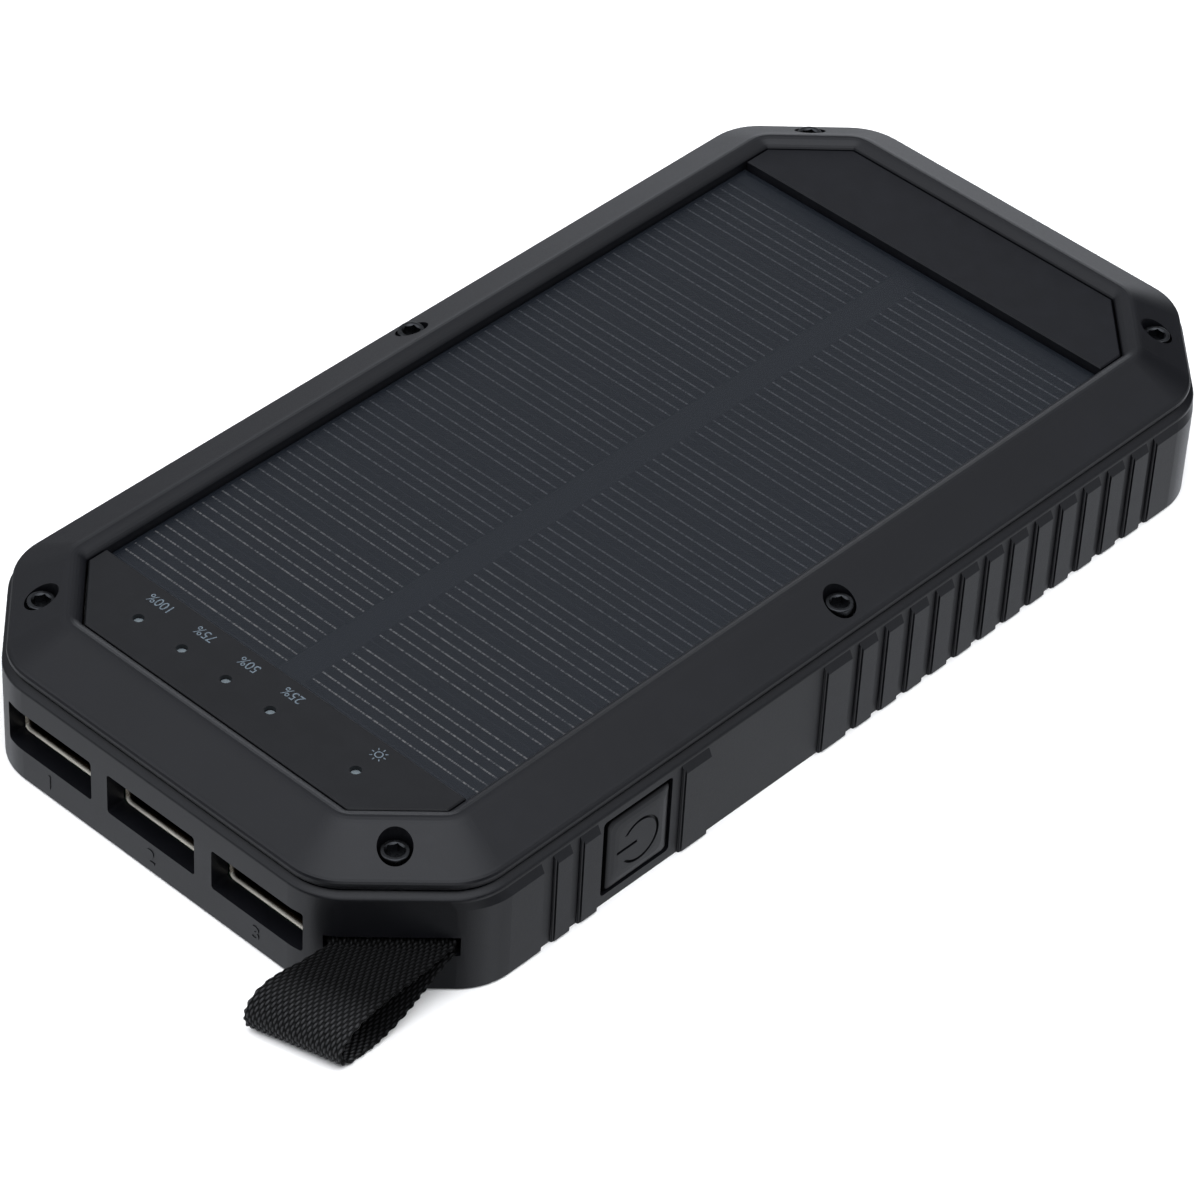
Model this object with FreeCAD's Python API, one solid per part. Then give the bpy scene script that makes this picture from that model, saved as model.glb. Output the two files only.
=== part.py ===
"""Rugged solar power bank: sloping front frame over a ribbed tub, recessed solar panel, three USB
sockets, push button, hidden battery pack and boards, webbing loop at one corner.

Millimetres. Origin at the centre of the flat back face, +Z towards the solar panel, +Y along the
body away from the USB end, +X towards the button side."""
import os
import math

import FreeCAD
import Part

V = FreeCAD.Vector
S2 = math.sqrt(2.0)
X_AXIS, Y_AXIS, Z_AXIS = V(1, 0, 0), V(0, 1, 0), V(0, 0, 1)

# Body outline: an eight-sided plan with softened corners
HALF_X = 36.2            # half width on the valleys between the grip ribs
HALF_X_PAD = 36.7        # half width on the ribs and the corner bodies
HALF_Y = 71.0            # half length
CORNER_DIST = 66.95      # centre to each corner face
CORNER_R = 8.0           # soft radius where faces meet

# Rear shell
WALL = 2.4
WALL_INSIDE = HALF_X - WALL
FLOOR = 1.6
BACK_EDGE = 0.25         # bevel round the back face
PAD_TOP, BASE_TOP = 11.5, 12.5   # the raised grip layer slopes away between these heights
RIM_TOP = 13.45
RIM_STEPS = [(12.75, 0.0), (12.88, 0.03), (12.98, 0.09), (13.07, 0.2), (13.26, 0.52), (13.45, 0.86)]

# Front frame
FRAME_BOTTOM = 13.6
# Section of the frame: height and distance in from the outline, from the parting line over the crest
FRAME_STEPS = [(13.60, 0.90), (13.75, 0.72), (13.98, 0.58), (14.28, 0.52), (14.58, 0.56), (14.82, 0.70),
               (14.98, 0.92), (15.10, 1.18), (17.66, 5.90), (17.84, 6.25), (17.97, 6.58), (18.05, 6.95),
               (18.04, 7.30), (17.95, 7.65), (17.80, 8.00), (17.61, 8.30), (17.42, 8.50), (17.22, 8.62)]
OPENING_INSET = 8.62
SOFT_AT, SOFT_FALL = 6.6, 0.62   # plan corners stay soft up to this inset, then sharpen to the opening
FRAME_UNDER = 14.7
TONGUE_OUT, TONGUE_IN, TONGUE_BOTTOM = 2.5, 3.7, 11.7

# Plates and solar panel
PLATE_TOP, PLATE_BOTTOM = 17.33, 15.5
PLATE_GAP = 0.26
LAMP_PLATE_EDGE, END_PLATE_EDGE = -52.18, 51.2
LAMP_X = [-16.6, -9.85, -3.1, 3.65, 16.45]
LAMP_Y, LAMP_HOLE_D = -57.4, 1.3
PANEL_HALF_X, PANEL_Y0, PANEL_Y1 = 27.45, -52.05, 51.05
TRAY_FLOOR = 14.2
CELL_ROWS, ROW_PITCH, CELL_LENGTH, CELL_MID_Y = 10, 10.0, 9.7, -0.85
CELL_X0, CELL_X1 = 1.85, 27.3

# Screws
SCREW_AT = [(26.9, -62.05), (-26.9, -62.05), (26.9, 62.05), (-26.9, 62.05), (32.8, 0.0), (-32.8, 0.0)]
STRAP_SCREW = 0          # this one stands over the strap slot
COUNTERBORE_D, HEAD_D, HEAD_H, HEAD_SEAT = 3.8, 3.2, 1.7, 14.5
HEX_FLATS, HEX_DEPTH = 1.9, 1.1
SHANK_D, SHANK_TIP = 2.0, 9.1
BOSS_R, POST_TOP = 3.2, 11.5

# USB sockets
USB_X = [-16.2, -0.3, 15.7]
WINDOW_W, WINDOW_Z0, WINDOW_Z1, WINDOW_R = 13.4, 4.3, 9.7, 0.4
SOCKET_FRONT, SOCKET_LENGTH = -68.5, 14.0
SOCKET_W, SOCKET_Z0, SOCKET_Z1, SOCKET_SKIN = 13.2, 4.3, 10.0, 0.35
FLARE, FLARE_DEPTH = 0.25, 0.7   # the metal mouth opens out

# Boards
BOARD_TOP, BOARD_T = 4.3, 1.6
BOARD_SCREW_AT = [(-28.5, -51.0), (25.5, -51.0)]

# Power button
BUTTON_Y0, BUTTON_Y1, BUTTON_Z0, BUTTON_Z1 = -39.98, -29.98, 1.31, 11.6
BUTTON_GAP_Y0, BUTTON_GAP_Y1, BUTTON_GAP_LOW, BUTTON_GAP_TOP = 0.46, 0.13, 0.06, 0.3
BUTTON_FACE, BUTTON_R = 36.35, 0.5
# Cap section: place along X and how far the edge is drawn in
BUTTON_STEPS = [(32.9, 0.0), (35.6, 0.0), (35.86, 0.1), (36.08, 0.33), (36.24, 0.75), (36.32, 1.3), (36.35, 1.9)]
MARK_Y, MARK_Z = -34.8, 6.2      # middle of the power mark
BUTTON_MID_Y = (BUTTON_Y0 + BUTTON_Y1) / 2
BUTTON_MID_Z = (BUTTON_Z0 + BUTTON_Z1) / 2

# Grip: y ranges of the valleys cut between raised ribs on both long sides
RIB_PITCH, RIB_FIRST, RIB_W, RIB_COUNT, RIB_ROUND = 4.26, -0.2, 2.75, 12, 0.3
VALLEYS = [(-49.9, -48.1), (-45.6, -44.1), (-41.4, -28.5), (-24.3, -5.9), (-1.7, -0.2)]

# Strap slot on the +X -Y corner face; "along" runs parallel to that face
SLOT_ALONG, SLOT_W, SLOT_Z0, SLOT_Z1 = -25.0, 14.2, 5.0, 7.6
STRAP_W, STRAP_T = 13.2, 1.05
STRAP_ROOT_DIST, STRAP_Z = 67.45, 6.3
TAIL_DIST, TAIL_HALF = 63.5, 1.05

NODES = {}


def box(x0, x1, y0, y1, z0, z1):
    return Part.makeBox(x1 - x0, y1 - y0, z1 - z0, V(x0, y0, z0))


def cylinder(x, y, z0, z1, r):
    return Part.makeCylinder(r, z1 - z0, V(x, y, z0))


def union(shapes):
    whole = shapes[0].multiFuse(shapes[1:]) if len(shapes) > 1 else shapes[0]
    return whole.removeSplitter()


def rounded_wire(points, radii, z=0.0):
    """Closed wire through plan points with each corner rounded to its radius."""
    count, starts, ends, mids = len(points), [], [], []
    for i, (px, py) in enumerate(points):
        p = V(px, py, z)
        a, b = V(*points[i - 1], z) - p, V(*points[(i + 1) % count], z) - p
        half = a.getAngle(b) / 2
        r = max(radii[i], 0.05)
        reach = r / math.tan(half)
        a.normalize()
        b.normalize()
        bisector = a + b
        bisector.normalize()
        centre = p + bisector * (r / math.sin(half))
        starts.append(p + a * reach)
        ends.append(p + b * reach)
        mids.append(centre - bisector * r)
    edges = []
    for i in range(count):
        edges.append(Part.Arc(starts[i], mids[i], ends[i]).toShape())
        edges.append(Part.LineSegment(ends[i], starts[(i + 1) % count]).toShape())
    return Part.Wire(edges)


def outline(z, inset, half_x=HALF_X, extra=0.0, soft=False):
    """The body's plan, moved inwards by the inset; extra widens the long sides only."""
    hx, hy, dist = half_x + extra - inset, HALF_Y - inset, (CORNER_DIST - inset) * S2
    r = max(CORNER_R - inset, 0.35)
    if soft:
        r = CORNER_R - SOFT_FALL * min(inset, SOFT_AT)
        r += (0.35 - r) * max(0.0, (inset - SOFT_AT) / (OPENING_INSET - SOFT_AT))
    points = [(hx, -(dist - hx)), (hx, dist - hx), (dist - hy, hy), (-(dist - hy), hy),
              (-hx, dist - hx), (-hx, -(dist - hx)), (-(dist - hy), -hy), (dist - hy, -hy)]
    return rounded_wire(points, [r] * 8, z)


def stack(wires):
    return Part.makeLoft(wires, True, True)


def slab(inset, z0, z1, half_x=HALF_X):
    return Part.Face(outline(z0, inset, half_x)).extrude(V(0, 0, z1 - z0))


def rounded_box_y(x_mid, width, z0, z1, r, y0, y1):
    """Box running along Y with its four long edges rounded."""
    b = box(x_mid - width / 2, x_mid + width / 2, y0, y1, z0, z1)
    edges = [e for e in b.Edges if abs(e.tangentAt(e.FirstParameter).y) > 0.99]
    return b.makeFillet(r, edges)


def mouth_wire(x_mid, width, z0, z1, r, y):
    """Rounded rectangle standing across Y."""
    x0, x1 = x_mid - width / 2, x_mid + width / 2
    wire = rounded_wire([(x0, z0), (x1, z0), (x1, z1), (x0, z1)], [r] * 4)
    wire.rotate(V(0, 0, 0), X_AXIS, 90)
    wire.translate(V(0, y, 0))
    return wire


def cap_wire(x, inset):
    """Rounded rectangle standing across X: the button's edge, drawn in by the inset."""
    y0, y1, z0, z1 = BUTTON_Y0 + inset, BUTTON_Y1 - inset, BUTTON_Z0 + inset, BUTTON_Z1 - inset
    wire = rounded_wire([(y0, z0), (y1, z0), (y1, z1), (y0, z1)], [BUTTON_R + inset / 2] * 4)
    wire.rotate(V(0, 0, 0), V(1, 1, 1), 120)
    wire.translate(V(x, 0, 0))
    return wire


def rounded_box_x(x0, x1, y0, y1, z0, z1, r):
    """Box running along X with its four long edges rounded."""
    b = box(x0, x1, y0, y1, z0, z1)
    edges = [e for e in b.Edges if abs(e.tangentAt(e.FirstParameter).x) > 0.99]
    return b.makeFillet(r, edges)


def corner_block(dist0, dist1, along0, along1, z0, z1):
    """Block square to the strap corner face, by distance from the centre and place along the face."""
    b = box(dist0, dist1, along0, along1, z0, z1)
    b.rotate(V(0, 0, 0), Z_AXIS, -45)
    return b


def corner_point(dist, along, z):
    return V((dist + along) / S2, (along - dist) / S2, z)


def hexagon(x, y, z, flats, height):
    r = flats / math.sqrt(3)
    ring = [V(x + r * math.cos(math.radians(60 * k)), y + r * math.sin(math.radians(60 * k)), z)
            for k in range(7)]
    return Part.Face(Part.makePolygon(ring)).extrude(V(0, 0, height))


def wire_lead(points, radius, bend=1.2):
    """Round lead along straight runs joined by bends."""
    points = [V(*p) for p in points]
    edges, last = [], points[0]
    for before, corner, after in zip(points, points[1:], points[2:]):
        a, b = before - corner, after - corner
        reach = min(bend, 0.45 * a.Length, 0.45 * b.Length)
        half = a.getAngle(b) / 2
        a.normalize()
        b.normalize()
        bisector = a + b
        bisector.normalize()
        middle = corner + bisector * (reach * (1 / math.cos(half) - math.tan(half)))
        edges.append(Part.LineSegment(last, corner + a * reach).toShape())
        edges.append(Part.Arc(corner + a * reach, middle, corner + b * reach).toShape())
        last = corner + b * reach
    edges.append(Part.LineSegment(last, points[-1]).toShape())
    start = points[1] - points[0]
    profile = Part.Wire([Part.makeCircle(radius, points[0], start)])
    return Part.Wire(edges).makePipeShell([profile], True, True)


def rib_valleys():
    ranges = list(VALLEYS)
    for k in range(RIB_COUNT):
        start = RIB_FIRST + RIB_PITCH * k + RIB_W
        end = RIB_FIRST + RIB_PITCH * (k + 1) if k < RIB_COUNT - 1 else start + 1.3
        ranges.append((start, end))
    return ranges


def valley_cutter(y0, y1, side):
    """Removes the raised layer between y0 and y1; the next rib's near edge comes out rounded."""
    r, h0, h1 = RIB_ROUND, HALF_X, HALF_X_PAD
    c = r * math.cos(math.pi / 4)
    near, far = V(side * h0, y1, 0), V(side * (h0 + r), y1 + r, 0)
    bend = V(side * (h0 + c), y1 + r - c, 0)
    edges = [Part.LineSegment(V(side * h0, y0, 0), near).toShape(),
             Part.Arc(near, bend, far).toShape(),
             Part.LineSegment(far, V(side * (h1 + 1), y1 + r, 0)).toShape(),
             Part.LineSegment(V(side * (h1 + 1), y1 + r, 0), V(side * (h1 + 1), y0, 0)).toShape(),
             Part.LineSegment(V(side * (h1 + 1), y0, 0), V(side * h0, y0, 0)).toShape()]
    face = Part.Face(Part.Wire(edges))
    face.translate(V(0, 0, -1))
    return face.extrude(V(0, 0, RIM_TOP + 2))


def make_rear_shell():
    pad = HALF_X_PAD - HALF_X
    body = stack([outline(0, BACK_EDGE, extra=pad), outline(BACK_EDGE, 0, extra=pad),
                  outline(PAD_TOP, 0, extra=pad), outline(BASE_TOP, 0)] +
                 [outline(z, inset) for z, inset in RIM_STEPS])
    body = body.cut(slab(WALL, FLOOR, RIM_TOP + 1))
    additions = []
    for i, (x, y) in enumerate(SCREW_AT):
        low = 9.0 if i == STRAP_SCREW else FLOOR - 0.2
        additions.append(cylinder(x, y, low, POST_TOP, BOSS_R))
    additions.append(corner_block(60.2, 65.0, SLOT_ALONG - 4, SLOT_ALONG + 6, 9.0, 10.0))
    for side in (-1, 1):
        for y0, y1 in ((-26.0, -5.0), (5.0, 55.0)):
            x0, x1 = sorted((side * 28.4, side * 29.3))
            additions.append(box(x0, x1, y0, y1, FLOOR - 0.2, 8.0))
    additions.append(box(-27.0, 27.0, 59.2, 60.1, FLOOR - 0.2, 8.0))
    additions.append(box(-33.9, -28.3, -41.5, -28.8, FLOOR - 0.2, 3.6))
    for x, y in BOARD_SCREW_AT:
        additions.append(cylinder(x, y, FLOOR - 0.2, BOARD_TOP - BOARD_T, 2.2))
    body = body.fuse(union(additions))
    cuts = [cylinder(x, y, 9.05, POST_TOP, 1.6) for x, y in SCREW_AT]
    cuts += [cylinder(x, y, 0.9, BOARD_TOP, 0.75) for x, y in BOARD_SCREW_AT]
    for x in USB_X:
        half = SOCKET_W / 2 + 0.1
        cuts.append(box(x - half, x + half, SOCKET_FRONT - 0.08, -54, SOCKET_Z0 - 0.05, SOCKET_Z1 + 0.1))
        cuts.append(rounded_box_y(x, WINDOW_W, WINDOW_Z0, WINDOW_Z1, WINDOW_R, -HALF_Y - 1, -HALF_Y + 4))
    cuts.append(rounded_box_x(WALL_INSIDE - 1.5, HALF_X + 1, BUTTON_Y0 - BUTTON_GAP_Y0, BUTTON_Y1 + BUTTON_GAP_Y1,
                              BUTTON_Z0 - BUTTON_GAP_LOW, BUTTON_Z1 + BUTTON_GAP_TOP, BUTTON_R + 0.05))
    cuts.append(rounded_box_x(-HALF_X - 1, -WALL_INSIDE + 1, BUTTON_MID_Y - 4.1, BUTTON_MID_Y + 4.1,
                              4.8, 8.2, 0.8))
    cuts.append(corner_block(62.2, 70, SLOT_ALONG - SLOT_W / 2, SLOT_ALONG + SLOT_W / 2,
                             SLOT_Z0, SLOT_Z1))
    for side in (-1, 1):
        cuts += [valley_cutter(y0, y1, side) for y0, y1 in rib_valleys()]
    return body.cut(cuts)


def make_front_frame():
    """Sloping band, rounded crest, inner lip, locating tongue and screw bosses."""
    top = [outline(z, inset, soft=True) for z, inset in FRAME_STEPS]
    opening = slab(OPENING_INSET, FRAME_BOTTOM - 1, 20)
    frame = stack(top).cut([opening, slab(TONGUE_IN, 10, FRAME_UNDER)])
    tongue = slab(TONGUE_OUT, TONGUE_BOTTOM, FRAME_UNDER).cut(slab(TONGUE_IN, 10, FRAME_UNDER + 1))
    relief = box(30, 36, BUTTON_Y0 - 2, BUTTON_Y1 + 2, 10, 12.4)
    band = stack(top)
    bosses = [cylinder(x, y, POST_TOP, 20, BOSS_R).common(band.fuse(slab(TONGUE_OUT, 10, FRAME_UNDER)))
              for x, y in SCREW_AT]
    frame = union([frame, tongue.cut(relief)] + bosses)
    cuts = []
    for x, y in SCREW_AT:
        cuts.append(cylinder(x, y, HEAD_SEAT, 20, COUNTERBORE_D / 2))
        cuts.append(cylinder(x, y, 10, 20, SHANK_D / 2 + 0.15))
    return frame.cut(cuts)


def plate(y_low, y_high):
    """Flat plate filling one end of the frame's opening, a thin gap all round."""
    body = slab(OPENING_INSET + PLATE_GAP, PLATE_BOTTOM, PLATE_TOP)
    body = body.common(box(-40, 40, y_low, y_high, 0, 30))
    edges = [e for e in body.Edges if abs(e.BoundBox.ZMin - PLATE_TOP) < 1e-3 and e.BoundBox.ZLength < 1e-3]
    return body.makeChamfer(0.15, edges)


def make_lamp_plate():
    holes = [cylinder(x, LAMP_Y, 0, 30, LAMP_HOLE_D / 2) for x in LAMP_X]
    return plate(-80, LAMP_PLATE_EDGE).cut(holes)


def make_panel_tray():
    """Shallow tray under the frame: floor below the panel, raised platforms below both plates."""
    def tray_slab(hx, hy, dist, z0, z1):
        points = [(hx, -(dist * S2 - hx)), (hx, dist * S2 - hx), (dist * S2 - hy, hy), (-(dist * S2 - hy), hy),
                  (-hx, dist * S2 - hx), (-hx, -(dist * S2 - hx)), (-(dist * S2 - hy), -hy), (dist * S2 - hy, -hy)]
        return Part.Face(rounded_wire(points, [0.3] * 8, z0)).extrude(V(0, 0, z1 - z0))
    base = tray_slab(29.4, 64.2, 59.5, 12.4, FRAME_UNDER).cut(tray_slab(27.55, 62.25, 58.15, TRAY_FLOOR, 20))
    inner = tray_slab(27.55, 62.25, 58.15, TRAY_FLOOR - 0.2, PLATE_BOTTOM)
    platforms = [inner.common(box(-40, 40, -80, LAMP_PLATE_EDGE, 0, 30)),
                 inner.common(box(-40, 40, END_PLATE_EDGE, 80, 0, 30))]
    tray = union([base] + platforms)
    slots = [box(-18.9, 19.3, LAMP_Y - 1.6, LAMP_Y + 1.6, 10, 20), cylinder(-6, 46, 10, 20, 1.6)]
    return tray.cut(slots)


def make_light_guide():
    bar = box(-18.6, 19.0, LAMP_Y - 1.3, LAMP_Y + 1.3, 13.4, PLATE_BOTTOM)
    pins = [cylinder(x, LAMP_Y, 15.3, 16.75, LAMP_HOLE_D / 2 - 0.04) for x in LAMP_X]
    return union([bar] + pins)


def make_cells():
    """Twenty cells: ten rows in two columns either side of a plain centre band."""
    first = CELL_MID_Y - ROW_PITCH * (CELL_ROWS - 1) / 2
    low = TRAY_FLOOR + 1.3
    cells = []
    for row in range(CELL_ROWS):
        y = first + ROW_PITCH * row
        for x0, x1 in ((-CELL_X1, -CELL_X0), (CELL_X0, CELL_X1)):
            cells.append(box(x0, x1, y - CELL_LENGTH / 2, y + CELL_LENGTH / 2, low, low + 0.3))
    return Part.makeCompound(cells)


def make_usb_shell(x):
    y0, y1 = SOCKET_FRONT, SOCKET_FRONT + SOCKET_LENGTH
    outer = rounded_box_y(x, SOCKET_W, SOCKET_Z0, SOCKET_Z1, 0.7, y0, y1)
    inner = rounded_box_y(x, SOCKET_W - 2 * SOCKET_SKIN, SOCKET_Z0 + SOCKET_SKIN, SOCKET_Z1 - SOCKET_SKIN,
                          0.45, y0 - 1, y1 - SOCKET_SKIN)
    mouth = [(0, FLARE), (FLARE_DEPTH, 0)]
    lip = stack([mouth_wire(x, SOCKET_W - 2 * SOCKET_SKIN + 2 * grow, SOCKET_Z0 + SOCKET_SKIN - grow,
                            SOCKET_Z1 - SOCKET_SKIN + grow, 0.45 + grow, y0 + depth) for depth, grow in mouth])
    latches = [box(x + dx - 0.9, x + dx + 0.9, y0 + 4.0, y0 + 6.6, SOCKET_Z1 - 1, SOCKET_Z1 + 1)
               for dx in (-3.2, 3.2)]
    return outer.cut([inner, lip] + latches)


def make_usb_tongue(x):
    back = SOCKET_FRONT + SOCKET_LENGTH - SOCKET_SKIN
    block = box(x - 6.1, x + 6.1, back - 2.6, back - 0.05, SOCKET_Z0 + 0.45, SOCKET_Z1 - 0.45)
    blade = box(x - 5.55, x + 5.55, SOCKET_FRONT + 1.65, back - 2.5, 7.35, 9.25)
    return union([block, blade])


def make_usb_contacts(x):
    return [box(x + dx - 0.5, x + dx + 0.5, SOCKET_FRONT + 2.2, SOCKET_FRONT + 10.9, 7.2, 7.35)
            for dx in (-3.5, -1.0, 1.0, 3.5)]


def make_main_board():
    points = [(-21.4, -68.2), (20.0, -68.2), (29.0, -59.2), (29.0, -46.5), (-32.5, -46.5), (-32.5, -58.2),
              (-23.2, -58.2), (-23.2, -66.6)]
    board = Part.Face(rounded_wire(points, [0.5] * 8, BOARD_TOP - BOARD_T)).extrude(V(0, 0, BOARD_T))
    return board.cut([cylinder(x, y, 0, 10, 0.95) for x, y in BOARD_SCREW_AT])


def make_chips():
    """Controller, charge chip, two capacitors and the lead connector on the main board."""
    parts = [box(-22, -16, -53.2, -47.6, BOARD_TOP, BOARD_TOP + 1.1),
             box(-12.5, -8.5, -52.4, -48.4, BOARD_TOP, BOARD_TOP + 1.0),
             box(14, 19, -53.4, -47.2, BOARD_TOP, BOARD_TOP + 3.2)]
    parts += [cylinder(x, -50.2, BOARD_TOP, BOARD_TOP + 4.5, 2.0) for x in (-5.0, 10.0)]
    return Part.makeCompound(parts)


def make_button():
    """Cap with softened edges, debossed power mark, side flanges that stop it falling out."""
    cap = stack([cap_wire(x, inset) for x, inset in BUTTON_STEPS])
    flange = box(32.9, 33.6, BUTTON_Y0 - 1.2, BUTTON_Y1 + 1.2, 2.6, 11.0)
    y, z = MARK_Y, MARK_Z
    ring = Part.makeCylinder(2.95, 1, V(BUTTON_FACE - 0.25, y, z), X_AXIS)
    ring = ring.cut(Part.makeCylinder(2.58, 1, V(BUTTON_FACE - 0.25, y, z), X_AXIS))
    ring = ring.cut(box(30, 40, y - 4, y - 1.1, z - 1.75, z + 1.75))
    bar = box(BUTTON_FACE - 0.25, 40, y - 3.5, y - 0.4, z - 0.2, z + 0.2)
    return cap.fuse(flange).removeSplitter().cut([ring, bar])


def make_switch_body():
    body = box(30.0, 32.0, BUTTON_MID_Y - 3, BUTTON_MID_Y + 3, BUTTON_MID_Z - 3, BUTTON_MID_Z + 3)
    return body.cut(Part.makeCylinder(1.55, 2, V(31.2, BUTTON_MID_Y, BUTTON_MID_Z), X_AXIS))


def make_charge_socket():
    y, outer_x, inner_x = BUTTON_MID_Y, -33.7, -28.7
    outer = rounded_box_x(outer_x, inner_x, y - 3.75, y + 3.75, 5.2, 7.8, 0.5)
    return outer.cut(rounded_box_x(outer_x - 1, inner_x - 0.3, y - 3.45, y + 3.45, 5.5, 7.5, 0.3))


def make_screws():
    screws = []
    for x, y in SCREW_AT:
        head = cylinder(x, y, HEAD_SEAT, HEAD_SEAT + HEAD_H, HEAD_D / 2)
        top = [e for e in head.Edges if abs(e.BoundBox.ZMin - HEAD_SEAT - HEAD_H) < 1e-3]
        head = head.makeFillet(0.16, top)
        shank = cylinder(x, y, SHANK_TIP, HEAD_SEAT + 0.2, SHANK_D / 2)
        face = HEAD_SEAT + HEAD_H
        socket = hexagon(x, y, face - HEX_DEPTH, HEX_FLATS, 3)
        mouth = Part.makeCone(0.96, 1.2, 0.2, V(x, y, face - 0.17))
        screws.append(head.fuse(shank).removeSplitter().cut([socket, mouth]))
    return Part.makeCompound(screws)


def make_inserts():
    return Part.makeCompound([cylinder(x, y, 9.1, POST_TOP, 1.58).cut(cylinder(x, y, 9, 12, SHANK_D / 2 + 0.03))
                              for x, y in SCREW_AT])


# Side outline of the loop: fraction of its length and height, over the top ply, round the fold and back
LOOP_OUTSIDE = [(0.0, 7.05), (0.045, 7.3), (0.18, 6.95), (0.37, 6.55), (0.57, 6.35), (0.76, 5.8), (0.90, 4.7),
                (0.98, 3.3), (1.0, 2.1), (0.97, 0.8), (0.90, 0.2), (0.78, 0.08), (0.64, 0.3), (0.45, 1.35),
                (0.25, 3.15), (0.08, 4.9), (0.0, 5.55)]


def loop_edge(root, tip, outside):
    """Closed side outline of the loop from its root to its fold: the webbing's outside or inside."""
    run = tip - root
    length = run.Length
    run.normalize()
    points = [V(root.x + run.x * s * length, root.y + run.y * s * length, z) for s, z in LOOP_OUTSIDE]
    if not outside:
        moved = []
        for before, point, after in zip(points[2:], points[3:-2], points[4:]):
            along = (after - before).normalize()
            inward = V(along.z * run.x, along.z * run.y, -(along.x * run.x + along.y * run.y))
            moved.append(point + inward * STRAP_T)
        points = moved
    curve = Part.BSplineCurve()
    curve.interpolate(points)
    closing = Part.LineSegment(points[-1], points[0]).toShape()
    return Part.Wire([curve.toShape(), closing])


def make_strap_loop():
    """Flattened loop of webbing, skewed towards the USB end and resting on the table."""
    a0, a1 = SLOT_ALONG + STRAP_W / 2, SLOT_ALONG - STRAP_W / 2
    roots = [corner_point(STRAP_ROOT_DIST, a, 0) for a in (a0, a1)]
    tips = [V(34.55, -77.35, 0), V(23.25, -80.3, 0)]
    outer = [loop_edge(root, tip, True) for root, tip in zip(roots, tips)]
    inner = [loop_edge(root, tip, False) for root, tip in zip(roots, tips)]
    shift = (tips[0] - tips[1]) * 0.05
    inner[0].translate(shift)
    inner[1].translate(shift * -1)
    return stack(outer).cut(stack(inner))


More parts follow.
